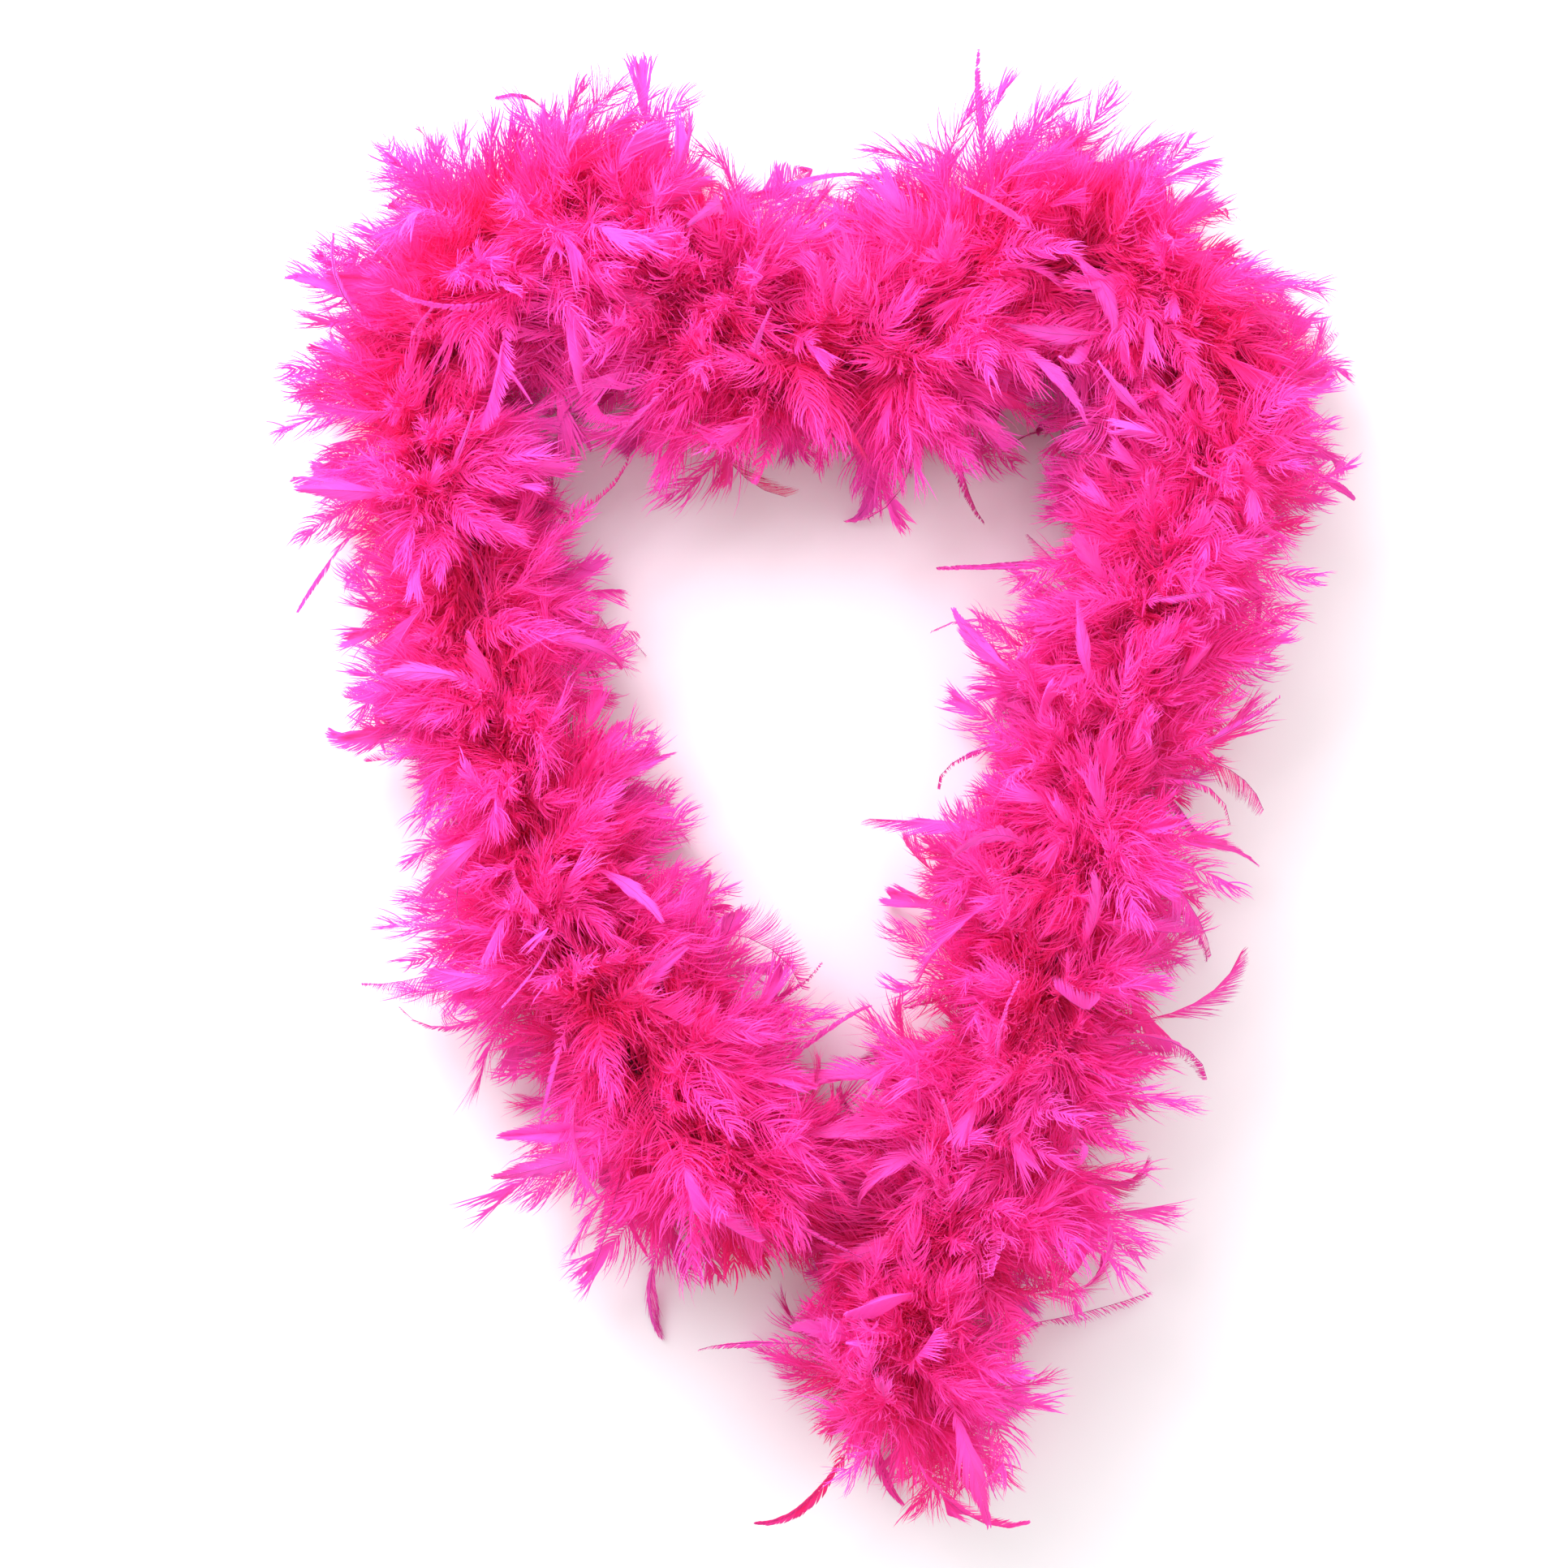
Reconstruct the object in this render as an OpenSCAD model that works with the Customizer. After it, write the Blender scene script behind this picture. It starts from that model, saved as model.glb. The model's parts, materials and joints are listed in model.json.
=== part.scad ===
// Chandelle feather boa laid out as a heart on a flat surface.
// One cord runs through the whole boa. Down feathers and longer flats are bound to it
// in whorls, so the strand is modelled as sections that bend at flex points on the cord.
// +Y points from the tip of the heart to its lobes, +Z is up, and z = 0 is the surface.

/* [Strand] */
// Length of a section at the lobes and the cleft, where the strand bends most
short_pitch = 88; // [86:1:96]
// Length of a section along the left arm of the heart
left_pitch = 166; // [150:1:167]
// Length of a section along the right arm, which passes the end of the left one
right_pitch = 150; // [150:1:167]
// Radius of the sleeve of down
puff_r = 68; // [60:1:70]
// How far the down is pressed flat by its own weight underneath
sag = 6; // [3:0.5:10]
// Sharpest bend that a flex point leaves room for, in degrees
flex_limit = 58; // [56:1:62]

/* [Core] */
// Diameter of the cord that runs through the boa
core_d = 4; // [3:0.5:5]
// Diameter of the bundle of quills bound round the cord
hub_d = 16; // [12:1:20]
// Diameter of the binding thread
thread_d = 0.8; // [0.6:0.1:1.2]
// Width of the overhand knot at each end of the cord
knot_w = 11; // [9:0.5:13]

/* [Feathers] */
// Distance along the cord between whorls of down
whorl_step = 14; // [13:1:16]
// Thickness of a whorl of down
whorl_t = 3; // [2:0.25:4]
// Distance from the cord to the tips of the longest flats
flat_r = 95; // [84:1:96]
// Width of a flat at its widest
flat_w = 24; // [16:1:28]
// Thickness of a flat
flat_t = 0.8; // [0.6:0.1:1.5]
// Angle between the flats of one ring, in degrees
flat_angle = 30; // [30:5:45]
// Length of the flats that splay over the free end at the tip of the heart
tip_reach = 80; // [60:1:84]
// How far those flats splay from square to the cord, in degrees
tip_splay = 60; // [50:1:65]

/* [Hidden] */
$fn = 64;
fit = 0.05;
flex_gap = 0.4;
end_gap = 0.15;
bundle_lip = 1;
quill_w = 2.4;
quill_bite = 1;
short_count = 3;
outline_steps = 8;
lowest_flat = -30;
whipping_turns = 4;
core_z = puff_r - sag;

// Bend at each flex point, counted outwards from the middle section at the cleft
LEFT_TURNS = [-44, 54, 54, 41, 2, 15];
RIGHT_TURNS = [40, -54, -54, -39, 0, 4, -15];

// Route of the cord: a section is [name, middle point, heading, length, outer side].
// The outer side is 1 or -1 where both its flex points bend away from that side, else 0.
function total(list, count) = count < 1 ? 0 : list[count - 1] + total(list, count - 1);
function along(heading) = [cos(heading), sin(heading)];
function pitch_of(long_pitch, k) = k <= short_count ? short_pitch : long_pitch;
function heading_of(first, turns, k) = first + total(turns, k);
function end_of(first, turns, long_pitch, k) =
    k < 1 ? along(first) * short_pitch / 2
          : end_of(first, turns, long_pitch, k - 1)
            + along(heading_of(first, turns, k)) * pitch_of(long_pitch, k);
function arm(side, first, turns, long_pitch, outer) = [
    for (k = [1:len(turns)])
        let (heading = heading_of(first, turns, k), pitch = pitch_of(long_pitch, k))
            [str(side, "_", k), end_of(first, turns, long_pitch, k) - along(heading) * pitch / 2,
             heading, pitch, k == 1 ? 0 : outer]
];
SECTIONS = concat(
    [["middle", [0, 0], 0, short_pitch, 0]],
    arm("left", 180, LEFT_TURNS, left_pitch, -1),
    arm("right", 0, RIGHT_TURNS, right_pitch, 1)
);
LEFT_END = SECTIONS[len(LEFT_TURNS)];
RIGHT_END = SECTIONS[len(SECTIONS) - 1];

// Feathers stay inside the wedge that the sharpest bend leaves at each end of a section
function wedge(pitch, x) = (pitch / 2 - abs(x) - flex_gap) / tan(flex_limit / 2);
function whorl_r(pitch, x) = min(puff_r, wedge(pitch, abs(x) + whorl_t / 2));
function whorl_pairs(pitch) = floor(pitch / 2 / whorl_step);
function whorl_places(pitch) =
    let (pairs = whorl_pairs(pitch)) [for (i = [-pairs:pairs - 1]) (i + 0.5) * whorl_step];
function bundle_end(pitch) = (whorl_pairs(pitch) - 0.5) * whorl_step + whorl_t / 2 + bundle_lip;
function is_long(pitch) = pitch > 8 * whorl_step;
function ring_places(pitch) = is_long(pitch) ? [-2 * whorl_step, 0, 2 * whorl_step] : [0];
function flat_reach(section, x, angle) =
    cos(angle) * section[4] > 0 ? flat_r
        : min(flat_r, wedge(section[3], abs(x) + flat_t / 2) / max(abs(cos(angle)), 0.1));

// The heart is centred on the origin by the box round its widest flats and its ends
function reach_points(section) = [
    for (x = ring_places(section[3]), angle = [0, 180])
        section[1] + along(section[2]) * x
            + along(section[2] + 90) * flat_reach(section, x, angle) * cos(angle)
];
function end_points(section) = [
    for (x = whorl_places(section[3]), side = [-1, 1])
        section[1] + along(section[2]) * x
            + along(section[2] + 90) * whorl_r(section[3], x) * side
];
function tip_points(section) = [
    for (side = [-1, 1])
        section[1]
            + along(section[2]) * (bundle_end(section[3]) - hub_d / 2 + tip_reach * sin(tip_splay))
            + along(section[2] + 90) * tip_reach * cos(tip_splay) * side
];
POINTS = concat([for (section = SECTIONS) each reach_points(section)],
                [for (section = SECTIONS) each end_points(section)],
                tip_points(RIGHT_END));
function middle_of(values) = (min(values) + max(values)) / 2;
CENTRE = [middle_of([for (p = POINTS) p[0]]), middle_of([for (p = POINTS) p[1]])];

module at_section(section) {
    translate([section[1][0] - CENTRE[0], section[1][1] - CENTRE[1], core_z])
        rotate([0, 0, section[2]])
            children();
}

// Turns a profile drawn as [radius, place] round the cord
module round_cord() {
    rotate([0, 90, 0])
        rotate_extrude()
            children();
}

// Whorls of down on the bundle of quills, pressed flat underneath
module down(section) {
    pitch = section[3];
    bundle_end = bundle_end(pitch);
    bore_r = core_d / 2 + fit;
    whorls = [
        for (x = whorl_places(pitch))
            let (rim = max(whorl_r(pitch, x), hub_d / 2 + 1))
                each [[hub_d / 2, x - whorl_t / 2], [rim, x - whorl_t / 2],
                      [rim, x + whorl_t / 2], [hub_d / 2, x + whorl_t / 2]]
    ];
    color("deeppink")
        at_section(section)
            difference() {
                round_cord()
                    polygon(concat([[bore_r, -bundle_end], [hub_d / 2, -bundle_end]], whorls,
                                   [[hub_d / 2, bundle_end], [bore_r, bundle_end]]));
                translate([-pitch, -2 * puff_r, -core_z - 2 * puff_r])
                    cube([2 * pitch, 4 * puff_r, 2 * puff_r]);
            }
}

// One flat: a quill that widens into a vane and comes to a narrow tip
module flat(reach) {
    start = hub_d / 2 - quill_bite;
    span = reach - start;
    half = [
        for (i = [0:outline_steps])
            let (u = i / outline_steps)
                quill_w / 2 * (1 - 0.5 * u) + (flat_w - quill_w) / 2 * sin(180 * pow(u, 1.4))
    ];
    right = [for (i = [0:outline_steps]) [start + span * i / outline_steps, half[i]]];
    left = [for (i = [outline_steps:-1:0]) [start + span * i / outline_steps, -half[i]]];
    translate([0, 0, -flat_t / 2])
        linear_extrude(flat_t)
            polygon(concat(right, left));
}

// Rings of flats between the whorls, none of them reaching the surface underneath
module flats(section) {
    places = ring_places(section[3]);
    color("hotpink")
        at_section(section)
            for (x = places) {
                stagger = x == 0 ? 0 : flat_angle / 2;
                for (angle = [lowest_flat + stagger:flat_angle:180 - lowest_flat - stagger])
                    translate([x, 0, 0])
                        rotate([angle, 0, 0])
                            rotate([90, 0, 90])
                                flat(flat_reach(section, x, angle));
            }
    if (section == RIGHT_END) tip_flats(section);
}

// Flats that splay over the free end at the tip of the heart
module tip_flats(section) {
    color("hotpink")
        at_section(section)
            for (angle = [0:2 * flat_angle:180])
                translate([bundle_end(section[3]) - hub_d / 2, 0, 0])
                    rotate([angle, 0, 0])
                        rotate([0, 0, -tip_splay])
                            rotate([90, 0, 90])
                                flat(tip_reach);
}

// The stretch of cord between two flex points, round at its ends so that they clear in a bend
module core(section) {
    reach = section[3] / 2 - (core_d / 2 + end_gap) / cos(flex_limit / 2);
    color("mediumvioletred")
        at_section(section)
            union() {
                rotate([0, 90, 0])
                    cylinder(h = 2 * reach, d = core_d, center = true);
                for (side = [-1, 1])
                    translate([side * reach, 0, 0])
                        sphere(d = core_d);
            }
}

// Turns of thread that bind the quills, between the whorls
module thread(section) {
    places = is_long(section[3]) ? [-3, -1, 1, 3] : [-1, 1];
    color("crimson")
        at_section(section)
            for (place = places)
                translate([place * whorl_step, 0, 0])
                    thread_turn(hub_d / 2);
}

module thread_turn(inner_r) {
    round_cord()
        translate([inner_r + thread_d / 2 + fit, 0])
            circle(d = thread_d, $fn = 24);
}

// Overhand knot at a free end of the cord, drawn as a crossed bead round it
module knot(section) {
    lobe_d = knot_w / 2 - core_d / 2;
    color("mediumvioletred")
        at_section(section)
            translate([section[3] / 2 - lobe_d / 2 - 1, 0, 0])
                round_cord()
                    translate([core_d / 2 + fit + lobe_d / 2, 0])
                        circle(d = lobe_d, $fn = 32);
}

// Whipping that stops the feathers sliding off the cord
module whipping(section) {
    first = section[3] / 2 - (knot_w - core_d) / 2 - 2 - whipping_turns * thread_d;
    color("crimson")
        at_section(section)
            for (turn = [0:whipping_turns - 1])
                translate([first + turn * (thread_d + fit), 0, 0])
                    thread_turn(core_d / 2);
}

for (section = SECTIONS) {
    down(section);
    flats(section);
    core(section);
    thread(section);
}
knot(LEFT_END);  // left_knot
whipping(LEFT_END);  // left_whipping
knot(RIGHT_END);  // right_knot
whipping(RIGHT_END);  // right_whipping
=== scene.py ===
"""The looks of a chandelle feather boa laid out as a heart.

Every feather is grown on the route of the core cord. Each has a quill with separate barbs, which are
loose and fluffy near its root and close up into a vane towards its tip. The strand is cut into
stretches that run from the middle of one section to the middle of the next, and each stretch spans
one flex point.
"""

import json
import math
from types import SimpleNamespace

import bpy
import numpy as np
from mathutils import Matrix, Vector

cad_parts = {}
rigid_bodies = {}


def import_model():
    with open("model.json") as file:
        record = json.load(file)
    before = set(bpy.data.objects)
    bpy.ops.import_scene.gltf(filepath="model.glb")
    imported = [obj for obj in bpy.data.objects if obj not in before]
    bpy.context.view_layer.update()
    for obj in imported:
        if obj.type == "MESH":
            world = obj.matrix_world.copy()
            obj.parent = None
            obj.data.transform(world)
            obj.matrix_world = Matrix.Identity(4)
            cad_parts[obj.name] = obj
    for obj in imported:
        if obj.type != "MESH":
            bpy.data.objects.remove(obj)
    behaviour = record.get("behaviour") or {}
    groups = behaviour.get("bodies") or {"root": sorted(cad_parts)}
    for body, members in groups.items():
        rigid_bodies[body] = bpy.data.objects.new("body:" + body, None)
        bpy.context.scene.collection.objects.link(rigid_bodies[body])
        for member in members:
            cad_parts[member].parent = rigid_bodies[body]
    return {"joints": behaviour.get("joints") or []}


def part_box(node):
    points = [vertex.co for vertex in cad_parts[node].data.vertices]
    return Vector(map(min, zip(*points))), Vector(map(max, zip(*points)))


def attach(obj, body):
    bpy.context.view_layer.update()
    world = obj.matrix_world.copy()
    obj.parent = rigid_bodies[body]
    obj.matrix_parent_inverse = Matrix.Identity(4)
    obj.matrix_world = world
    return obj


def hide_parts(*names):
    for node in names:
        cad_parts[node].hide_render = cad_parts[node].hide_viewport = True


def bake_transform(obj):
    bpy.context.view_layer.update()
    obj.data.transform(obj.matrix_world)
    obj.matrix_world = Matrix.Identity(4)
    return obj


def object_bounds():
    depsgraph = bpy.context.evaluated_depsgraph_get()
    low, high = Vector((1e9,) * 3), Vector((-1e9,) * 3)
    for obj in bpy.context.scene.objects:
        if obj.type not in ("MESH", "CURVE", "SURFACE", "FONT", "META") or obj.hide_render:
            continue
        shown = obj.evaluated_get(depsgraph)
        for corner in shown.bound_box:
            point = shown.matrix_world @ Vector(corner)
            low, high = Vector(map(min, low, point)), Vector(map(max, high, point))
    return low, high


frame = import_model()
CAD_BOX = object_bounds()

# ---------------------------------------------------------------- sizes, in metres
SEED = 20
STEP = 0.002  # spacing of the samples along the cord
PLY_PITCH = 0.014  # length of one full turn of the cord's two plies
THREAD_PITCH = 0.007  # length of one turn of the binding thread

# How full the sleeve of feathers is at the middle of each section, 1 being the sleeve's own radius
FULLNESS = {
    "left_6": 1.32, "left_5": 1.06, "left_4": 1.04, "left_3": 1.1, "left_2": 1.42, "left_1": 1.3,
    "middle": 1.2,
    "right_1": 1.25, "right_2": 1.26, "right_3": 1.1, "right_4": 1.12, "right_5": 1.2,
    "right_6": 1.25, "right_7": 1.3,
}
SLEEVE_R = 0.075  # radius of the sleeve where its fullness is 1, for the painted shade by depth

DOWN_FEATHER = SimpleNamespace(
    pitch=0.0064,  # length of cord for each bunch of feathers
    each=4,  # feathers in a bunch
    fan=0.6,  # how far a bunch spreads, in radians
    lean=0.6,  # how far bunches lean along the cord, in radians
    length=(0.038, 0.056),
    curl=(0.8, 0.4),  # how far the quill bends over in all, mean and spread in radians
    curl_power=1.2,
    barbs=56,  # on each side of the quill
    barb_length=(0.020, 0.028),
    barb_width=0.0010,
    lock=4,  # neighbouring barbs that cling together at their tips
    vane_from=(1.5, 2.0),  # where the barbs close up into a vane, as a share of the quill
    vane_width=(0.009, 0.014),  # of half the vane, on one side of its quill
    fray=0.3,  # how far a vane's barbs stray at their tips, in radians
    dark=0.0,
)
PLUME = SimpleNamespace(
    pitch=0.0055,
    each=6,
    fan=0.36,
    lean=0.42,
    length=(0.056, 0.084),
    curl=(1.05, 0.35),
    curl_power=1.3,
    barbs=74,
    barb_length=(0.023, 0.036),
    barb_width=0.00075,
    lock=4,
    vane_from=(0.6, 1.5),
    vane_width=(0.014, 0.021),
    fray=0.4,
    dark=0.0,
)
FLAT = SimpleNamespace(
    pitch=0.0095,
    each=1,
    fan=0.0,
    lean=0.5,
    length=(0.082, 0.112),
    curl=(1.5, 0.45),
    curl_power=1.7,
    barbs=96,
    barb_length=(0.014, 0.022),
    barb_width=0.0008,
    lock=9,
    vane_from=(0.36, 0.58),
    vane_width=(0.009, 0.020),
    fray=0.14,
    dark=0.6,
)
WISP = SimpleNamespace(
    pitch=0.019,
    each=1,
    fan=0.0,
    lean=0.6,
    length=(0.092, 0.118),
    curl=(1.3, 0.6),
    curl_power=2.0,
    barbs=60,
    barb_length=(0.010, 0.016),
    barb_width=0.0007,
    lock=6,
    vane_from=(0.4, 0.6),
    vane_width=(0.0035, 0.0065),
    fray=0.05,
    dark=1.0,
)
BARB_STATIONS = 5  # points along a barb
QUILL_STATIONS = 10  # points along a quill
FIRST_BARB = 0.08  # where the barbs begin, as a share of the quill
QUILL_R = 0.00045  # radius of a quill at the cord
CALAMUS = 0.009  # length of bare quill that is bound along the cord
QUILL_TAPER = 0.2  # radius of a quill's tip beside its root
STOUT = 1.3  # how much thicker the quills of dark-tipped feathers are
FLOOR_LAYER = 0.018  # depth of the mat of feathers pressed against the surface
FLOOR_CLEARANCE = 0.0006
ROOM = 0.028  # band at the edge of the allowed space where feathers are gathered in
SIDE_SHARE, SIDE_MARGIN = 0.03, 0.009  # how far feathers may pass the CAD box: a share of a side, and more

# Where and how feathers leave the cord
ROOT_SCATTER = 0.002  # spread of the roots of one bunch along the cord
END_LEAN = (0.2, 1.5)  # how far feathers lean over a free end, least and most in radians
END_CALM = 0.6  # how much of their own random lean they lose there
DROOP = 0.6  # how strongly quills curl downwards
BUNCH_PULL, OWN_PULL = 0.6, 0.3  # spread of the ways that quills curl, for a bunch and for each of its quills
TOP_PRESSED = 0.12  # how much shorter the feathers on top are
VANE_TURN, VANE_TWIST = 0.35, 0.7  # spread of a vane's turn about its quill, at its root and more at its tip

# How barbs leave their quill, in radians, loose ones first and those closed into a vane second
OPENING_AT_ROOT = (1.2, 0.78)
OPENING_LOST = (0.6, 0.42)  # how much less they open at the quill's tip
OPENING_SPREAD = (0.14, 0.02)
BARB_BEND = (0.8, 0.45)  # how far barbs bend back towards the quill's tip
LIFT_SPREAD = (0.26, 0.02)
TWIST_SPREAD = (0.75, 0.05)
CLING = (0.3, 0.12)  # how far barbs are drawn to the leader of their lock
WAVE_LIFT = 0.5
WAVE_OPENING = 0.14
CUP = (0.15, 0.35)  # cupping of vanes, mean and spread
SLANT = 0.62  # width of a vane beside the length of its slanting barbs
CLOSED_FILL = 0.85  # share of their spacing that the barbs of a vane fill
DARK_FROM = 0.55  # where the dark edge of a vane begins, as a share of its barbs
CLOSING_SPAN = 0.16  # share of the quill over which loose barbs close up
NARROWEST_VANE = 0.002
SLOW_WAVES = ((1.3, 0.6), (3.1, 0.45), (6.5, 0.35))  # waves along a quill and their strengths

# ---------------------------------------------------------------- the route of the cord
PIVOTS = {j["child"]: np.array(j["pos_m"], float) for j in frame["joints"]}
PARENTS = {j["child"]: j["parent"] for j in frame["joints"]}


def arm(side):
    """Section names of one arm, from the middle section outwards."""
    names, here = [], "middle"
    while True:
        nexts = [c for c, p in PARENTS.items() if p == here and c.startswith(side)]
        if not nexts:
            return names
        here = nexts[0]
        names.append(here)


def centre(node):
    low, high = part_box(node)
    return np.array((low + high) / 2)


ORDER = arm("left")[::-1] + ["middle"] + arm("right")
MIDDLES = {name: centre("core_" + name) for name in ORDER}


def far_end(name):
    """The free end of an arm's last section."""
    return 2 * MIDDLES[name] - PIVOTS[name]


def knots_of_route():
    """The points that the cord passes: section middles, flex points and both free ends."""
    points = [far_end(ORDER[0])]
    for before, after in zip(ORDER, ORDER[1:]):
        child = after if PARENTS.get(after) == before else before
        points += [MIDDLES[before], PIVOTS[child]]
    return np.array(points + [MIDDLES[ORDER[-1]], far_end(ORDER[-1])])


def smooth_route(points):
    """A centripetal Catmull-Rom curve through the points, sampled at even spacing."""
    first, last = 2 * points[0] - points[1], 2 * points[-1] - points[-2]
    p = np.vstack([first, points, last])
    dense = []
    for i in range(1, len(p) - 2):
        a, b, c, d = p[i - 1 : i + 3]
        spans = [math.sqrt(np.linalg.norm(y - x)) for x, y in ((a, b), (b, c), (c, d))]
        knots = np.cumsum([0] + spans)
        t0, t1, t2, t3 = knots
        t = np.linspace(t1, t2, 60, endpoint=False)[:, None]
        a1 = (t1 - t) / (t1 - t0) * a + (t - t0) / (t1 - t0) * b
        a2 = (t2 - t) / (t2 - t1) * b + (t - t1) / (t2 - t1) * c
        a3 = (t3 - t) / (t3 - t2) * c + (t - t2) / (t3 - t2) * d
        b1 = (t2 - t) / (t2 - t0) * a1 + (t - t0) / (t2 - t0) * a2
        b2 = (t3 - t) / (t3 - t1) * a2 + (t - t1) / (t3 - t1) * a3
        dense.append((t2 - t) / (t2 - t1) * b1 + (t - t1) / (t2 - t1) * b2)
    dense = np.vstack(dense + [p[-2:-1]])
    length = np.r_[0, np.cumsum(np.linalg.norm(np.diff(dense, axis=0), axis=1))]
    even = np.linspace(0, length[-1], int(length[-1] / STEP) + 1)
    return even, np.stack([np.interp(even, length, dense[:, k]) for k in range(3)], axis=1)


ARC, ROUTE = smooth_route(knots_of_route())
TANGENT = np.gradient(ROUTE, axis=0)
TANGENT /= np.linalg.norm(TANGENT, axis=1)[:, None]
UP = np.array([0.0, 0.0, 1.0])
ROUTE_END = ARC[-1]


def arc_of(point):
    return ARC[np.argmin(np.linalg.norm(ROUTE - point, axis=1))]


def at(s):
    """Point, tangent and sideways direction of the route at arc lengths s."""
    point = np.stack([np.interp(s, ARC, ROUTE[:, k]) for k in range(3)], axis=-1)
    tangent = unit(np.stack([np.interp(s, ARC, TANGENT[:, k]) for k in range(3)], axis=-1))
    return point, tangent, unit(np.cross(UP, tangent))


def span_of(node):
    low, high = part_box(node)
    return np.array(high - low)


# Radii of the cord, of its binding thread and of the bundle of quills under the thread
CORD_R = span_of("core_middle")[2] / 2
THREAD_R = span_of("left_whipping")[2] / 4 - CORD_R / 2
BUNDLE_R = span_of("thread_middle")[2] / 2 - 2 * THREAD_R

# ---------------------------------------------------------------- vector helpers
def unit(v):
    return v / np.maximum(np.linalg.norm(v, axis=-1, keepdims=True), 1e-12)


def turned(v, axis, angle):
    """v turned about unit axes by angles."""
    c, s = np.cos(angle)[..., None], np.sin(angle)[..., None]
    return v * c + np.cross(axis, v) * s + axis * np.sum(axis * v, axis=-1, keepdims=True) * (1 - c)


def square_to(v, axis):
    """The part of v that is square to a unit axis, as a unit vector."""
    return unit(v - axis * np.sum(v * axis, axis=-1, keepdims=True))


def between(span, rng, shape):
    return span[0] + (span[1] - span[0]) * rng.random(shape)


def mix(low, high, share):
    return low + (high - low) * share


def smooth(x):
    x = np.clip(x, 0, 1)
    return x * x * (3 - 2 * x)


def summed(directions, length):
    """Points along strands from the origin, given unit directions at even stations."""
    steps = (directions[..., 1:, :] + directions[..., :-1, :]) / 2
    path = np.cumsum(steps, axis=-2) * (length / (directions.shape[-2] - 1))[..., None, None]
    return np.concatenate([np.zeros_like(path[..., :1, :]), path], axis=-2)


def allowed(low, high):
    margin = SIDE_SHARE * (high - low) + SIDE_MARGIN
    return low - margin, high + margin


ALLOWED = [allowed(low, high) for low, high in zip(*CAD_BOX)]


def gathered(p, start, way):
    """Eases what passes start, upwards for way 1 and downwards for -1, into a band as wide as ROOM."""
    past = np.maximum((p - start) * way, 0)
    return np.where(past > 0, start + way * ROOM * (1 - np.exp(-past / ROOM)), p)


def kept_in(points):
    """Gathers in what would stand out too far, and presses the rest flat against the surface."""
    for axis, (low, high) in enumerate(ALLOWED):
        if axis < 2:
            points[..., axis] = gathered(points[..., axis], low + ROOM, -1)
        points[..., axis] = gathered(points[..., axis], high - ROOM, 1)
    z = points[..., 2]
    pressed = FLOOR_LAYER * np.exp((np.minimum(z, FLOOR_LAYER) - FLOOR_LAYER) / FLOOR_LAYER)
    mat = pressed + FLOOR_CLEARANCE * (1 - pressed / FLOOR_LAYER)
    points[..., 2] = np.where(z < FLOOR_LAYER, mat, z)
    return points


# ---------------------------------------------------------------- meshes
class Growth:
    """Vertices and faces gathered for one mesh.

    Each vertex has a depth, 0 at the cord and 1 at the outside of the sleeve, a tint, a darkness
    and a place in the texture.
    """

    LABELS = ("depth", "tint", "dark")

    def __init__(self):
        self.co, self.uv, self.faces, self.materials = [], [], [], []
        self.values = {label: [] for label in self.LABELS}
        self.count = 0

    def add(self, co, uv, faces, material=0, **values):
        """faces is a list of arrays of rows of indices into co."""
        self.co.append(co.reshape(-1, 3))
        self.uv.append(uv.reshape(-1, 2))
        for label in self.LABELS:
            self.values[label].append(np.broadcast_to(values[label], co.shape[:-1]).ravel())
        for rows in faces:
            self.faces.append(rows + self.count)
            self.materials.append(np.broadcast_to(material, len(rows)))
        self.count += len(self.co[-1])

    def mesh(self, name, materials):
        corners = np.concatenate([rows.ravel() for rows in self.faces])
        sizes = np.concatenate([np.full(len(rows), rows.shape[1]) for rows in self.faces])
        mesh = bpy.data.meshes.new(name)
        mesh.vertices.add(self.count)
        mesh.vertices.foreach_set("co", np.concatenate(self.co).astype(np.float32).ravel())
        mesh.loops.add(len(corners))
        mesh.loops.foreach_set("vertex_index", corners.astype(np.int32))
        mesh.polygons.add(len(sizes))
        mesh.polygons.foreach_set("loop_start", (np.cumsum(sizes) - sizes).astype(np.int32))
        mesh.polygons.foreach_set("loop_total", sizes.astype(np.int32))
        mesh.polygons.foreach_set("material_index", np.concatenate(self.materials).astype(np.int32))
        mesh.polygons.foreach_set("use_smooth", np.ones(len(sizes), bool))
        mesh.update(calc_edges=True)
        for label, values in self.values.items():
            layer = mesh.attributes.new(label, "FLOAT", "POINT")
            layer.data.foreach_set("value", np.concatenate(values).astype(np.float32))
        uv = mesh.uv_layers.new(name="OFBake")
        uv.uv.foreach_set("vector", np.concatenate(self.uv)[corners].astype(np.float32).ravel())
        for material in materials:
            mesh.materials.append(material)
        piece = bpy.data.objects.new(name, mesh)
        bpy.context.scene.collection.objects.link(piece)
        return piece


def on_each(faces, strands, size):
    """The same faces on each of a number of strands of size vertices."""
    rows = (np.arange(strands) * size)[:, None, None] + np.asarray(faces)[None]
    return rows.reshape(-1, rows.shape[-1])


class Cells:
    """A grid of texture cells, one for each feather of a mesh."""

    MARGIN = 0.05

    def __init__(self, count):
        self.side = math.ceil(math.sqrt(count))
        self.next = 0

    def take(self, count):
        index = np.arange(self.next, self.next + count)
        self.next += count
        return np.stack([index % self.side, index // self.side], -1).astype(float)

    def place(self, cell, u, v):
        """u and v from 0 to 1 inside each feather's own cell."""
        local = self.MARGIN + (1 - 2 * self.MARGIN) * np.stack(np.broadcast_arrays(u, v), -1)
        return (cell + local) / self.side


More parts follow.
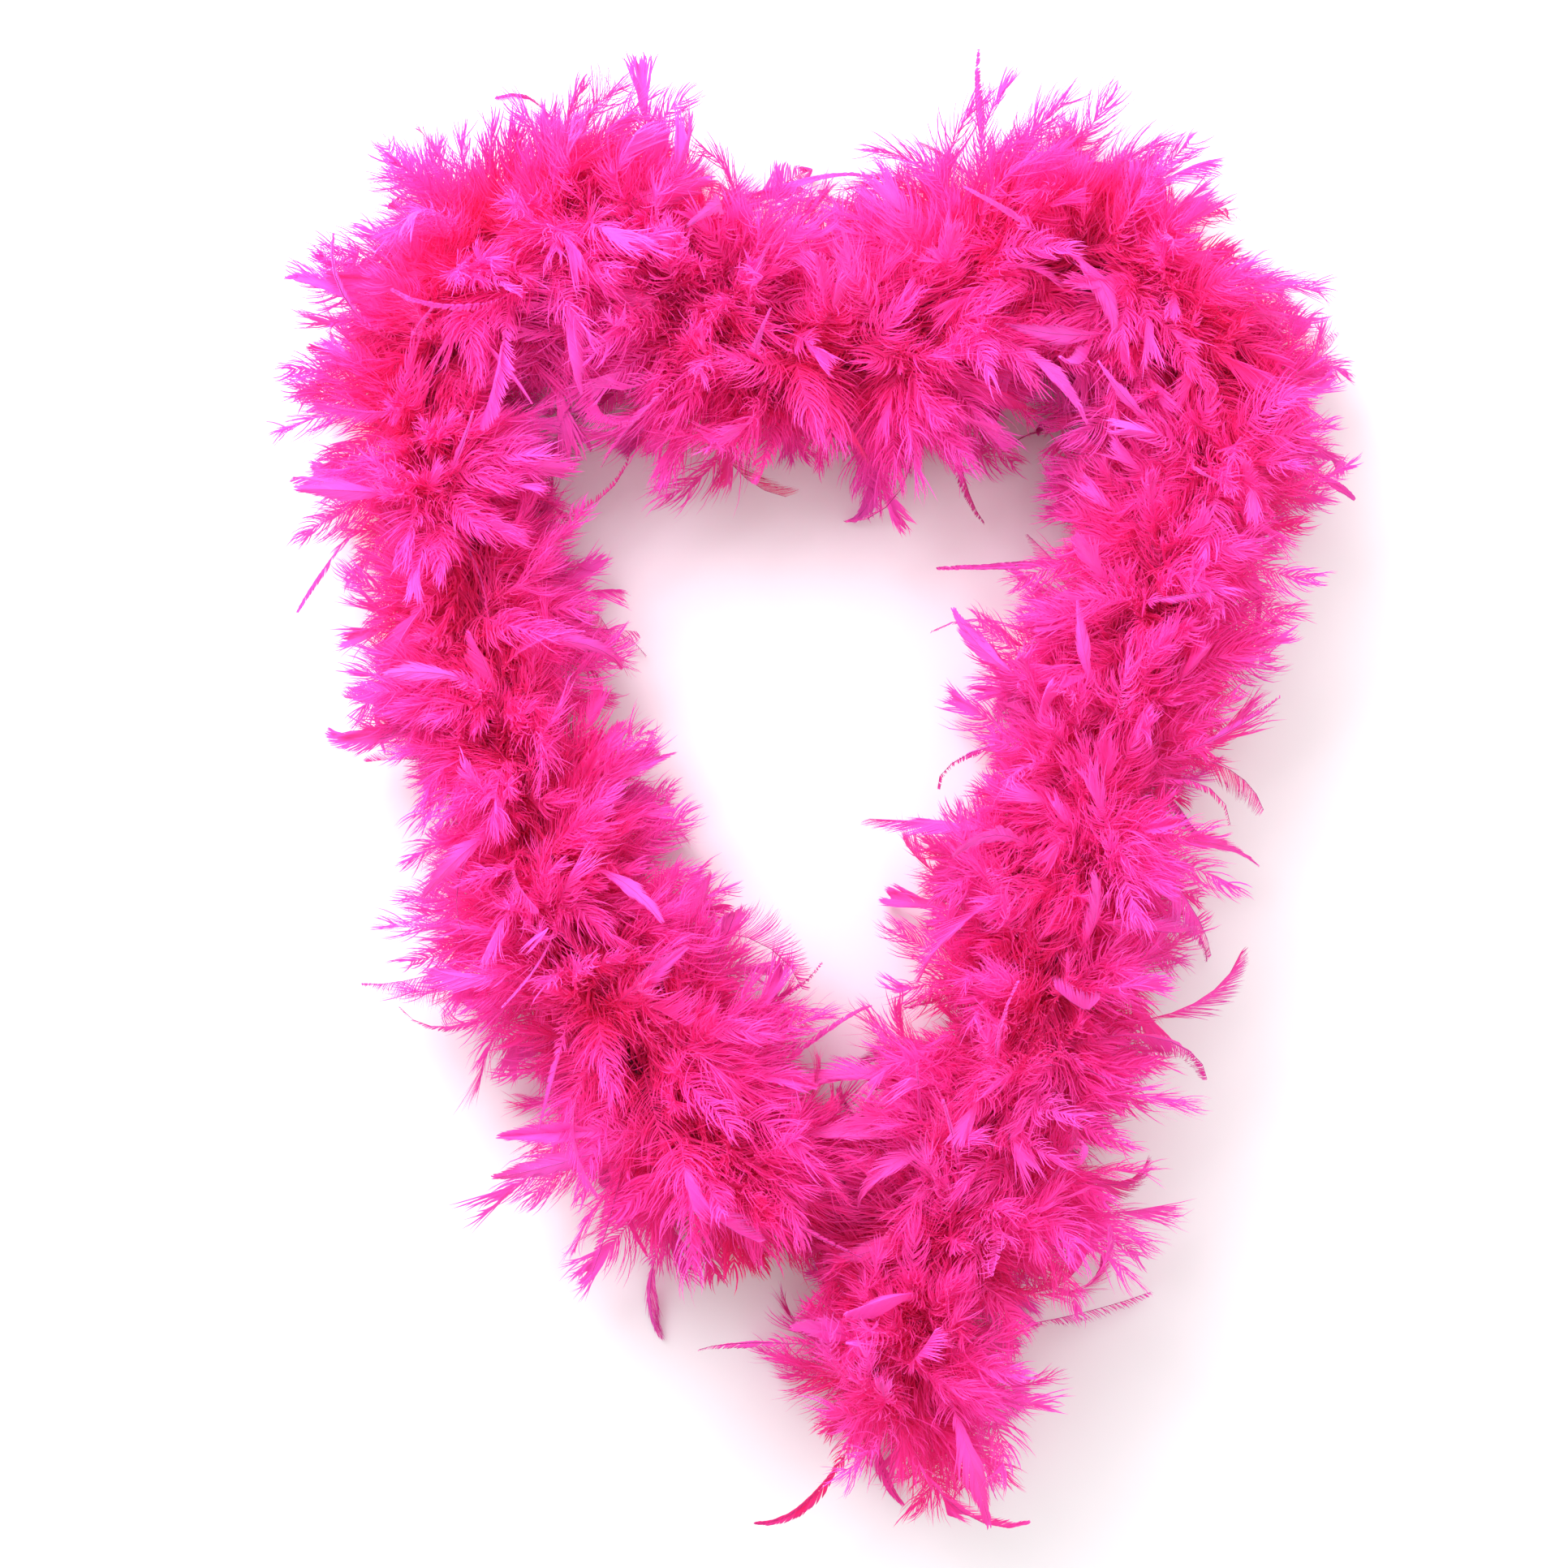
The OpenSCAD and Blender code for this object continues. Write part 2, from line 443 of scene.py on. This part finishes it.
def ribbons(growth, path, width_dir, width, uv_edges, material, **values):
    """Pointed ribbons along path, with two edges at every station but the last, where they meet."""
    strands, stations = path.shape[:2]
    v = np.linspace(0, 1, stations)[:-1]
    half = width_dir[:, None] * (width[:, None] * (1 - 0.6 * v**2) / 2)[..., None]

    def joined(left, right, tip):
        both = np.stack([left, right], axis=2)
        return np.concatenate([both.reshape(strands, 2 * (stations - 1), -1), tip[:, None]], axis=1)

    co = joined(path[:, :-1] - half, path[:, :-1] + half, path[:, -1])
    left, right = uv_edges
    uv = joined(left[:, :-1], right[:, :-1], (left[:, -1] + right[:, -1]) / 2)

    def at_vertices(x):
        x = np.broadcast_to(x, (strands, stations))[..., None]
        return joined(x[:, :-1], x[:, :-1], x[:, -1])[..., 0]

    size = co.shape[1]
    last = 2 * (stations - 2)
    quads = [[2 * k, 2 * k + 1, 2 * k + 3, 2 * k + 2] for k in range(stations - 2)]
    growth.add(
        co, uv, [on_each(quads, strands, size)], np.repeat(material, len(quads)),
        **{label: at_vertices(x) for label, x in values.items()},
    )
    tips = on_each([[last, last + 1, last + 2]], strands, size)
    growth.faces.append(tips + growth.count - strands * size)
    growth.materials.append(material)


def tubes(growth, path, side, radius, uv_of, sides=3, material=0, **values):
    """Closed tubes along path, with a radius at every station.

    uv_of gives the places in the texture for places along and round the tube.
    """
    strands, stations = path.shape[:2]
    along = unit(np.gradient(path, axis=1))
    a = square_to(side, along)
    b = np.cross(along, a)
    turn = np.arange(sides) * 2 * math.pi / sides
    ring = a[:, :, None] * np.cos(turn)[:, None] + b[:, :, None] * np.sin(turn)[:, None]
    co = path[:, :, None] + ring * radius[..., None, None]
    size = stations * sides
    row, c = np.meshgrid(np.arange(stations - 1) * sides, np.arange(sides), indexing="ij")
    d = (c + 1) % sides
    walls = np.stack([row + c, row + d, row + sides + d, row + sides + c], -1)
    caps = [np.arange(sides)[::-1], (stations - 1) * sides + np.arange(sides)]
    u = np.broadcast_to(np.linspace(0, 1, stations)[None, :, None], (strands, stations, sides))
    v = np.broadcast_to(np.arange(sides) / sides, u.shape)
    values = {k: np.broadcast_to(x, (strands, stations)) for k, x in values.items()}
    growth.add(
        co.reshape(strands, size, 3), uv_of(u, v).reshape(strands, size, 2),
        [on_each(walls.reshape(-1, 4), strands, size), on_each(caps, strands, size)], material,
        **{k: np.repeat(x, sides, axis=1) for k, x in values.items()},
    )


# ---------------------------------------------------------------- feathers
ARC_MIDDLES = np.array([arc_of(MIDDLES[name]) for name in ORDER])
FULL = np.array([FULLNESS[name] for name in ORDER])
END_SPAN = 0.045  # length of cord at each end where the feathers lean over the end
END_CLEAR = 0.010  # length of cord at each end that is left for the whipping and the knot
KNOT_SPAN = 0.0065  # length of cord at each end that the knot takes up


def bunches(kind, first, last, rng):
    """Where feathers leave the cord. They are bound in bunches, each fanned about its own direction."""
    count = max(1, round((last - first) / kind.pitch))
    own = np.repeat(np.arange(count), kind.each)
    total = len(own)
    s = (first + (last - first) * (np.arange(count) + rng.random(count)) / count)[own]
    s = s + rng.normal(0, ROOT_SCATTER, total)
    s = np.clip(s, max(first, END_CLEAR), min(last, ROUTE_END - END_CLEAR))
    phi = (rng.random(count) * 2 * math.pi)[own] + rng.normal(0, kind.fan, total)
    near_end = smooth(1 - np.minimum(s, ROUTE_END - s) / END_SPAN)
    lean = rng.normal(0, kind.lean, count)[own] + rng.normal(0, kind.fan, total)
    lean *= 1 - END_CALM * near_end
    lean += near_end * np.where(s < ROUTE_END / 2, -1, 1) * rng.uniform(*END_LEAN, count)[own]
    point, tangent, side = at(s)
    radial = side * np.cos(phi)[:, None] + UP * np.sin(phi)[:, None]
    direction = unit(radial * np.cos(lean)[:, None] + tangent * np.sin(lean)[:, None])
    pulls = rng.normal(0, BUNCH_PULL, (count, 3))[own] + rng.normal(0, OWN_PULL, (total, 3)) - DROOP * UP
    size = np.interp(s, ARC_MIDDLES, FULL) * (1 - TOP_PRESSED * np.maximum(np.sin(phi), 0))
    return SimpleNamespace(
        point=point, tangent=tangent, radial=radial, direction=direction,
        curl_to=square_to(pulls, direction), size=size, count=total,
    )


def slow_wave(station, rng):
    """A smooth random wave along each side of each quill, shared by neighbouring barbs."""
    total = 0
    for turns, weight in SLOW_WAVES:
        phase = rng.uniform(0, 2 * math.pi, (*station.shape[:2], 1))
        rate = turns * rng.uniform(0.7, 1.3, (*station.shape[:2], 1))
        total = total + weight * np.sin(2 * math.pi * rate * station + phase)
    return total


class Line:
    """The curved lines of a set of quills, with the directions along, across and out of their vanes."""

    def __init__(self, bunch, kind, length, rng):
        t = np.linspace(0, 1, QUILL_STATIONS)
        angle = rng.normal(*kind.curl, bunch.count)[:, None] * t**kind.curl_power
        d, c = bunch.direction[:, None], bunch.curl_to[:, None]
        self.along = np.cos(angle)[..., None] * d + np.sin(angle)[..., None] * c
        self.root = bunch.point + bunch.radial * BUNDLE_R
        self.path = self.root[:, None] + summed(self.along, length)
        turn = rng.normal(0, VANE_TURN, (bunch.count, 1))
        turn = turn + rng.normal(0, VANE_TWIST, (bunch.count, 1)) * t**1.5
        across = np.broadcast_to(np.cross(c, d), self.along.shape)
        self.side = turned(across, self.along, turn)
        self.normal = np.cross(self.along, self.side)

    def sample(self, station):
        place = station * (QUILL_STATIONS - 1)
        low = np.clip(place.astype(int), 0, QUILL_STATIONS - 2)
        share = (place - low)[..., None]
        row = np.arange(len(self.path))[:, None, None]
        tracks = (self.path, self.along, self.side, self.normal)
        picked = [mix(x[row, low], x[row, low + 1], share) for x in tracks]
        return [picked[0]] + [unit(x) for x in picked[1:]]


def vane_profile(t, blunt):
    """Width of a vane from its base, 0, to its tip, 1: more pointed for low blunt."""
    return smooth(t / 0.25) * (np.clip(1 - t, 0, 1) ** (1.1 - 0.7 * blunt) * 0.85 + 0.15)


def depth_of(points, bunch, extra):
    """How far points are from the cord, as a share of the sleeve's radius there."""
    shape = (-1,) + (1,) * extra + (3,)
    out = points - bunch.point.reshape(shape)
    tangent = bunch.tangent.reshape(shape)
    out = out - tangent * np.sum(out * tangent, axis=-1, keepdims=True)
    return np.linalg.norm(out, axis=-1) / (SLEEVE_R * bunch.size.reshape(shape[:-1]))


def feathers(growth, cells, kind, bunch, rng):
    """Grows a feather at each root: a quill, loose barbs, and a vane past vane_from."""
    count, n = bunch.count, kind.barbs
    length = between(kind.length, rng, count) * bunch.size
    line = Line(bunch, kind, length, rng)
    tint = rng.normal(0.5, 0.2, count)[:, None, None]
    vane_from = between(kind.vane_from, rng, count)[:, None, None]
    vane_width = (between(kind.vane_width, rng, count) * bunch.size)[:, None, None]
    blunt = rng.random(count)[:, None, None]
    cup = rng.normal(*CUP, count)[:, None, None]
    dark = kind.dark * rng.uniform(0.3, 1.0, count)[:, None, None]
    cell = cells.take(count)

    shape = (count, 2, n)
    index = np.arange(n)
    station = FIRST_BARB + (1 - FIRST_BARB) * (index + rng.random(shape)) / n
    closed = smooth((station - vane_from) / CLOSING_SPAN + 0.5)

    def by_closing(pair):
        return mix(*pair, closed)

    root, t, w, normal = line.sample(station)
    w = w * np.array([-1.0, 1.0])[:, None, None]
    sway, lift_sway, long_sway = (slow_wave(station, rng) for _ in range(3))
    opening = by_closing(OPENING_AT_ROOT) - by_closing(OPENING_LOST) * station
    opening = opening + WAVE_OPENING * sway * (1 - 0.6 * closed)
    opening = opening + rng.normal(0, 1, shape) * by_closing(OPENING_SPREAD)
    bend = by_closing(BARB_BEND)
    lift = mix(WAVE_LIFT * lift_sway, cup, closed) + rng.normal(0, 1, shape) * by_closing(LIFT_SPREAD)
    lift_bend = mix(-WAVE_LIFT * lift_sway, cup, closed)

    # loose barbs are shorter at the root and towards the tip, and those of a vane keep to its outline
    loose = between(kind.barb_length, rng, (count, 1, 1)) * bunch.size[:, None, None]
    loose = loose * (0.6 + 0.4 * smooth(station / 0.25)) * (1 - 0.5 * station**2)
    loose = loose * (1 + 0.15 * long_sway) * rng.uniform(0.7, 1.15, shape)
    share = (station - vane_from) / np.maximum(1 - vane_from, 0.05)
    inside = vane_width * vane_profile(share, blunt) * (1 + 0.05 * long_sway) / SLANT
    inside = np.maximum(inside, NARROWEST_VANE) * (1 + kind.fray * rng.uniform(-0.6, 0.6, shape))
    barb_length = mix(loose, inside, closed)

    v = np.linspace(0, 1, BARB_STATIONS)
    stray = kind.fray * closed[..., None] * v**2
    alpha = opening[..., None] - bend[..., None] * v + rng.normal(0, 1, shape)[..., None] * stray
    rise = lift[..., None] + lift_bend[..., None] * v + rng.normal(0, 1, shape)[..., None] * stray
    flat = np.cos(alpha)[..., None] * t[..., None, :] + np.sin(alpha)[..., None] * w[..., None, :]
    way = np.cos(rise)[..., None] * flat + np.sin(rise)[..., None] * normal[..., None, :]
    strand = root[..., None, :] + summed(way, barb_length)

    # barbs cling together at their tips, in locks
    offset = rng.integers(0, kind.lock, (count, 2, 1))
    middle = np.clip((index + offset) // kind.lock * kind.lock + kind.lock // 2 - offset, 0, n - 1)
    leader = np.take_along_axis(strand, middle[..., None, None], axis=2)
    cling = by_closing(CLING)[..., None, None] * (v**1.5)[:, None]
    strand = kept_in(strand + (leader - strand) * cling)

    barb_tint = tint + np.take_along_axis(rng.normal(0, 0.12, shape), middle, axis=2)
    barb_tint = barb_tint + rng.normal(0, 0.06, shape)
    spacing = length[:, None, None] * (1 - FIRST_BARB) / n
    width = mix(kind.barb_width, spacing * CLOSED_FILL, closed) * rng.uniform(0.75, 1.25, shape)
    scatter = rng.normal(0, 1, (*shape, 3)) * by_closing(TWIST_SPREAD)[..., None]
    width_dir = unit(np.cross(way[..., 1, :], normal + scatter))
    sign = np.array([-1.0, 1.0])[:, None, None]
    across = 0.5 + sign * (0.02 + 0.48 * v)
    own_cell = cell[:, None, None, None]
    edges = [cells.place(own_cell, ((index + edge) / n)[:, None], across) for edge in (0, 1)]
    strands = count * 2 * n
    ribbons(
        growth, strand.reshape(strands, BARB_STATIONS, 3), width_dir.reshape(strands, 3), width.ravel(),
        [e.reshape(strands, BARB_STATIONS, 2) for e in edges], (closed > 0.5).ravel().astype(int),
        depth=depth_of(strand, bunch, 3).reshape(strands, -1),
        tint=barb_tint.reshape(strands, 1),
        dark=(dark * closed)[..., None].reshape(strands, 1) * smooth((v - DARK_FROM) / (1 - DARK_FROM)),
    )

    # the quill, with the bare part that is bound along the cord
    bound = line.root[:, None] - bunch.tangent[:, None] * np.array([[CALAMUS], [CALAMUS * 0.35]])
    path = np.concatenate([bound, kept_in(line.path)], axis=1)
    side = np.concatenate([line.side[:, :1], line.side[:, :1], line.side], axis=1)
    taper = np.r_[1, 1, np.linspace(1, QUILL_TAPER, QUILL_STATIONS)]
    stout = STOUT if kind.dark else 1.0
    tubes(
        growth, path, side, np.broadcast_to(QUILL_R * stout * taper, (count, len(taper))),
        lambda u, around: cells.place(cell[:, None, None], u, 0.48 + 0.04 * around), material=2,
        depth=depth_of(path, bunch, 1), tint=tint[:, :, 0],
        dark=(0.25 + dark[:, :, 0]) * smooth((np.linspace(0, 1, len(taper)) - 0.35) / 0.5),
    )


# ---------------------------------------------------------------- materials
def node_material(name):
    material = bpy.data.materials.new(name)
    material.use_nodes = True
    tree = material.node_tree
    return material, tree, tree.nodes["Principled BSDF"]


def attribute(tree, name):
    node = tree.nodes.new("ShaderNodeAttribute")
    node.attribute_name = name
    return node.outputs["Fac"]


def ramp(tree, value, stops):
    node = tree.nodes.new("ShaderNodeValToRGB")
    tree.links.new(value, node.inputs["Fac"])
    elements = node.color_ramp.elements
    while len(elements) < len(stops):
        elements.new(0.5)
    for element, (place, colour) in zip(elements, stops):
        element.position = place
        element.color = (*colour, 1)
    return node.outputs["Color"]


def mapped(tree, value, low, high, most):
    """value from low to high, as a number from 0 to most."""
    node = tree.nodes.new("ShaderNodeMapRange")
    node.inputs["From Min"].default_value = low
    node.inputs["From Max"].default_value = high
    node.inputs["To Max"].default_value = most
    tree.links.new(value, node.inputs["Value"])
    return node.outputs["Result"]


def mixed(tree, first, second, factor):
    node = tree.nodes.new("ShaderNodeMix")
    node.data_type = "RGBA"
    sockets = (node.inputs["Factor"], node.inputs[6], node.inputs[7])
    for socket, value in zip(sockets, (factor, first, second)):
        if isinstance(value, bpy.types.NodeSocket):
            tree.links.new(value, socket)
        else:
            socket.default_value = (*value, 1)
    return node.outputs[2]


def noise(tree, scale, detail=2.0):
    place = tree.nodes.new("ShaderNodeTexCoord")
    node = tree.nodes.new("ShaderNodeTexNoise")
    node.inputs["Scale"].default_value = scale
    node.inputs["Detail"].default_value = detail
    tree.links.new(place.outputs["Object"], node.inputs["Vector"])
    return node.outputs["Fac"]


RELIEF = 0.0004  # depth of the finest bumps


def surface_detail(tree, shader, scale, roughness, bump):
    """Uneven roughness, from low to high, and a fine bump, both from one noise."""
    grain = noise(tree, scale)
    node = tree.nodes.new("ShaderNodeMapRange")
    node.inputs["To Min"].default_value, node.inputs["To Max"].default_value = roughness
    tree.links.new(grain, node.inputs["Value"])
    tree.links.new(node.outputs["Result"], shader.inputs["Roughness"])
    relief = tree.nodes.new("ShaderNodeBump")
    relief.inputs["Strength"].default_value = bump
    relief.inputs["Distance"].default_value = RELIEF
    tree.links.new(grain, relief.inputs["Height"])
    tree.links.new(relief.outputs["Normal"], shader.inputs["Normal"])


RED = (0.95, 0.016, 0.15)
VIOLET = (0.94, 0.15, 0.72)
PURPLE = (0.28, 0.025, 0.15)
# painted shade and light by depth: dark crimson near the cord, where shade falls, up to lit magenta at the
# outside of the sleeve
DEPTH_SHADE = [
    (0.0, (0.86, 0.026, 0.19)),
    (0.35, (0.95, 0.042, 0.34)),
    (0.65, (0.98, 0.068, 0.50)),
    (1.0, (0.98, 0.120, 0.66)),
]


def feather_material(name, violet, see_through, roughness, sheen, grain=900.0, bump=0.15):
    """Pink feather with painted shade and light by depth: redder and darker near the cord, where shade falls,
    and lighter and more violet outside, where light falls; lit through as well.
    """
    material, tree, shader = node_material(name)
    # the colour by depth is painted shade near the cord and painted light at the outside
    base = ramp(tree, attribute(tree, "depth"), DEPTH_SHADE)
    redder = mixed(tree, base, RED, mapped(tree, noise(tree, 14.0), 0.5, 0.75, 0.45))
    tinted = mixed(tree, redder, VIOLET, mapped(tree, attribute(tree, "tint"), 0.35, 1.1, violet))
    colour = mixed(tree, tinted, PURPLE, attribute(tree, "dark"))
    tree.links.new(colour, shader.inputs["Base Color"])
    surface_detail(tree, shader, grain, roughness, bump)
    shader.inputs["Specular IOR Level"].default_value = 0.2
    shader.inputs["Sheen Weight"].default_value = sheen
    shader.inputs["Sheen Roughness"].default_value = 0.5
    shader.inputs["Sheen Tint"].default_value = (1.0, 0.42, 0.8, 1)
    if see_through:
        through = tree.nodes.new("ShaderNodeBsdfTranslucent")
        tree.links.new(colour, through.inputs["Color"])
        both = tree.nodes.new("ShaderNodeMixShader")
        both.inputs["Fac"].default_value = see_through
        tree.links.new(shader.outputs["BSDF"], both.inputs[1])
        tree.links.new(through.outputs["BSDF"], both.inputs[2])
        tree.links.new(both.outputs["Shader"], tree.nodes["Material Output"].inputs["Surface"])
    return material


DOWN = feather_material("down", 0.45, 0.52, (0.65, 0.9), 0.3)
VANE = feather_material("vane", 0.42, 0.38, (0.5, 0.72), 0.3)
QUILL = feather_material("quill", 0.3, 0.0, (0.3, 0.55), 0.0)
CORD = feather_material("cord", 0.0, 0.0, (0.75, 0.95), 0.2, 2600.0, 0.7)
THREAD = feather_material("thread", 0.2, 0.0, (0.5, 0.8), 0.3, 5200.0, 0.5)

# ---------------------------------------------------------------- pieces
CUTS = [0.0, *ARC_MIDDLES, ROUTE_END]


def fix(piece, parts, place):
    """Attaches an end piece to its section's body, or bakes the transform of a piece between sections, and
    hides the CAD nodes that it stands for.
    """
    if place in (0, len(ORDER)):
        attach(piece, ORDER[min(place, len(ORDER) - 1)])
    else:
        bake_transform(piece)
    for name in ORDER[max(place - 1, 0) : place + 1]:
        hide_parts(*[part + "_" + name for part in parts])


def suffix(place):
    if place == 0:
        return "left_end"
    if place == len(ORDER):
        return "right_end"
    return ORDER[place - 1] + "_to_" + ORDER[place]


def carried_frame(path):
    """Tangents of a path and a direction square to it that is carried along without twist."""
    tangent = unit(np.gradient(path, axis=0))
    side = [square_to(np.cross(UP, tangent[0]) + 0.01 * UP, tangent[0])]
    for along in tangent[1:]:
        side.append(square_to(side[-1], along))
    return tangent, np.array(side)


def wound(growth, path, turns, radius, offset, start, material, depth, tint):
    """A strand of a given radius wound round a path, with turns for each metre of it."""
    tangent, side = carried_frame(path)
    length = np.r_[0, np.cumsum(np.linalg.norm(np.diff(path, axis=0), axis=1))]
    turn = (length * turns * 2 * math.pi + start)[:, None]
    out = side * np.cos(turn) + np.cross(tangent, side) * np.sin(turn)
    # depth picks the colour from the painted shade ramp of the feather material
    tubes(
        growth, (path + out * offset)[None], tangent[None], np.full((1, len(path)), radius),
        lambda u, v: np.stack([u, v], -1), 8, material, depth=depth, tint=tint, dark=0.0,
    )


# The cord, its thread and its ends
PLY_SHARE = 0.56  # radius of a ply beside that of the cord, so that the plies press together
KNOT_CORD = 0.72  # how far the cord is drawn thin in its knot
KNOT_REACH = 2.15  # ends of the open trefoil curve
KNOT_SIZE = (0.0014, 0.00115, 0.0020)  # size of the curve along, across and above the cord
KNOT_LIFT = 9  # divides the height of the curve, which is far taller than it is wide
TAIL = 0.004  # length of the tail past the knot
CORD_STEP, THREAD_STEP, WHIPPING_STEP = 0.0008, 0.0004, 0.00005  # spacing of the points along each


def plies(growth, path, cord_r, start):
    """Two plies twisted together round a path."""
    for half in (0, math.pi):
        radius, offset = cord_r * PLY_SHARE, cord_r * (1 - PLY_SHARE)
        wound(growth, path, 1 / PLY_PITCH, radius, offset, start + half, 0, 0.25, 0.25)


def route_points(first, last, spacing):
    return at(np.linspace(first, last, max(4, round((last - first) / spacing))))[0]


def cord_and_thread(growth, first, last):
    """Two plies twisted together, and the thread wound over the quills bound along them."""
    path = route_points(max(first, KNOT_SPAN), min(last, ROUTE_END - KNOT_SPAN), CORD_STEP)
    plies(growth, path, CORD_R, first / PLY_PITCH * 2 * math.pi)
    bundle = route_points(max(first, END_CLEAR), min(last, ROUTE_END - END_CLEAR), THREAD_STEP)
    wound(growth, bundle, -1 / THREAD_PITCH, THREAD_R, BUNDLE_R + THREAD_R, 0, 1, 0.5, 0.6)


def smoothed(path, times):
    for _ in range(times):
        path = np.vstack([path[:1], (path[:-2] + 2 * path[1:-1] + path[2:]) / 4, path[-1:]])
    return path


def overhand_knot(growth, end, inwards):
    """An overhand knot in the last of the cord, on an open trefoil curve, with a short tail."""
    _, tangent, side = at(ROUTE_END if inwards < 0 else 0.0)
    tangent = -inwards * tangent
    t = np.linspace(-KNOT_REACH, KNOT_REACH, 150)[:, None]
    along = (t**3 - 3 * t) * KNOT_SIZE[0]
    across = (t**4 - 4 * t**2 + 1) * KNOT_SIZE[1]
    up = (10 * t - t**5) / KNOT_LIFT * KNOT_SIZE[2]
    middle = end - tangent * KNOT_SPAN * 0.5
    loops = middle + along * tangent + across * side + up * UP
    lead = middle - tangent * KNOT_SPAN * np.linspace(0.8, 0.45, 6)[:, None]
    tail = end + tangent * TAIL * np.linspace(0.2, 1.6, 6)[:, None]
    path = smoothed(np.vstack([lead, loops[5:-5], tail]), 4)
    plies(growth, path, CORD_R * KNOT_CORD, 0.0)


def whipping(growth, inwards):
    """Close turns of thread that bind the end of the cord between its feathers and its knot."""
    first, last = KNOT_SPAN, END_CLEAR
    if inwards < 0:
        first, last = ROUTE_END - END_CLEAR, ROUTE_END - KNOT_SPAN
    path = route_points(first, last, WHIPPING_STEP)
    wound(growth, path, 1 / (2.1 * THREAD_R), THREAD_R, CORD_R + THREAD_R, 0, 1, 0.4, 0.5)


def end_pieces(side_name, section, inwards):
    """The knot and the whipping at one free end."""
    knot, thread = Growth(), Growth()
    overhand_knot(knot, far_end(section), inwards)
    whipping(thread, inwards)
    for part, slot, growth in (("knot", "cord", knot), ("whipping", "thread", thread)):
        piece = growth.mesh(f"{part}_{side_name}_end", [CORD, THREAD])
        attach(piece, section)
        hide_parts(f"{side_name}_{part}")


for place, (first, last) in enumerate(zip(CUTS, CUTS[1:])):
    rng = np.random.default_rng(SEED + place)
    for label, slot, kinds in (
        ("down", "down", [DOWN_FEATHER]),
        ("plumes", "down", [PLUME]),
        ("flats", "flats", [FLAT, WISP]),
    ):
        grown = [(kind, bunches(kind, first, last, rng)) for kind in kinds]
        cells = Cells(sum(bunch.count for kind, bunch in grown))
        growth = Growth()
        for kind, bunch in grown:
            feathers(growth, cells, kind, bunch, rng)
        fix(growth.mesh(label + "_" + suffix(place), [DOWN, VANE, QUILL]), [slot], place)

    growth = Growth()
    cord_and_thread(growth, first, last)
    fix(growth.mesh("cord_" + suffix(place), [CORD, THREAD]), ["core", "thread"], place)

end_pieces("left", ORDER[0], 1)
end_pieces("right", ORDER[-1], -1)

# ---------------------------------------------------------------- floor, light and camera
VIEW_CENTRE = (-0.017, 0.0092)
VIEW_WIDTH = 0.916  # width of the picture at the height of the boa's middle
VIEW_HEIGHT = 0.06
CAMERA_DISTANCE = 2.2  # above that height
SENSOR = 36  # width of the camera's sensor, in millimetres
FLOOR_REACH = 40.0


def plain_material(name, colour, roughness):
    material, tree, shader = node_material(name)
    shader.inputs["Base Color"].default_value = (*colour, 1)
    shader.inputs["Roughness"].default_value = roughness
    return material


def floor():
    mesh = bpy.data.meshes.new("floor")
    r = FLOOR_REACH
    mesh.from_pydata([(-r, -r, 0), (r, -r, 0), (r, r, 0), (-r, r, 0)], [], [(0, 1, 2, 3)])
    mesh.materials.append(plain_material("floor", (0.86, 0.86, 0.86), 0.9))
    obj = bpy.data.objects.new("floor", mesh)
    bpy.context.scene.collection.objects.link(obj)


def area_light(name, place, aim, size, power, colour):
    light = bpy.data.lights.new(name, "AREA")
    light.size = size
    light.energy = power
    light.color = colour
    obj = bpy.data.objects.new(name, light)
    obj.location = place
    obj.rotation_euler = (Vector(aim) - Vector(place)).to_track_quat("-Z", "Y").to_euler()
    bpy.context.scene.collection.objects.link(obj)


def camera():
    data = bpy.data.cameras.new("camera")
    data.sensor_width = SENSOR
    data.lens = data.sensor_width * CAMERA_DISTANCE / VIEW_WIDTH
    obj = bpy.data.objects.new("camera", data)
    obj.location = (*VIEW_CENTRE, VIEW_HEIGHT + CAMERA_DISTANCE)
    bpy.context.scene.collection.objects.link(obj)
    bpy.context.scene.camera = obj


def white_surroundings(strength):
    world = bpy.data.worlds.new("world")
    world.use_nodes = True
    background = world.node_tree.nodes["Background"]
    background.inputs["Color"].default_value = (1, 1, 1, 1)
    background.inputs["Strength"].default_value = strength
    bpy.context.scene.world = world


floor()
area_light("key", (-0.75, 1.2, 1.15), (-0.1, 0.25, 0), 1.3, 50, (0.96, 0.86, 1.0))
area_light("fill", (1.2, 0.9, 1.8), (0, 0.1, 0), 1.8, 13, (1.0, 0.95, 0.97))
white_surroundings(0.97)
bpy.context.scene.view_settings.view_transform = "Standard"
camera()
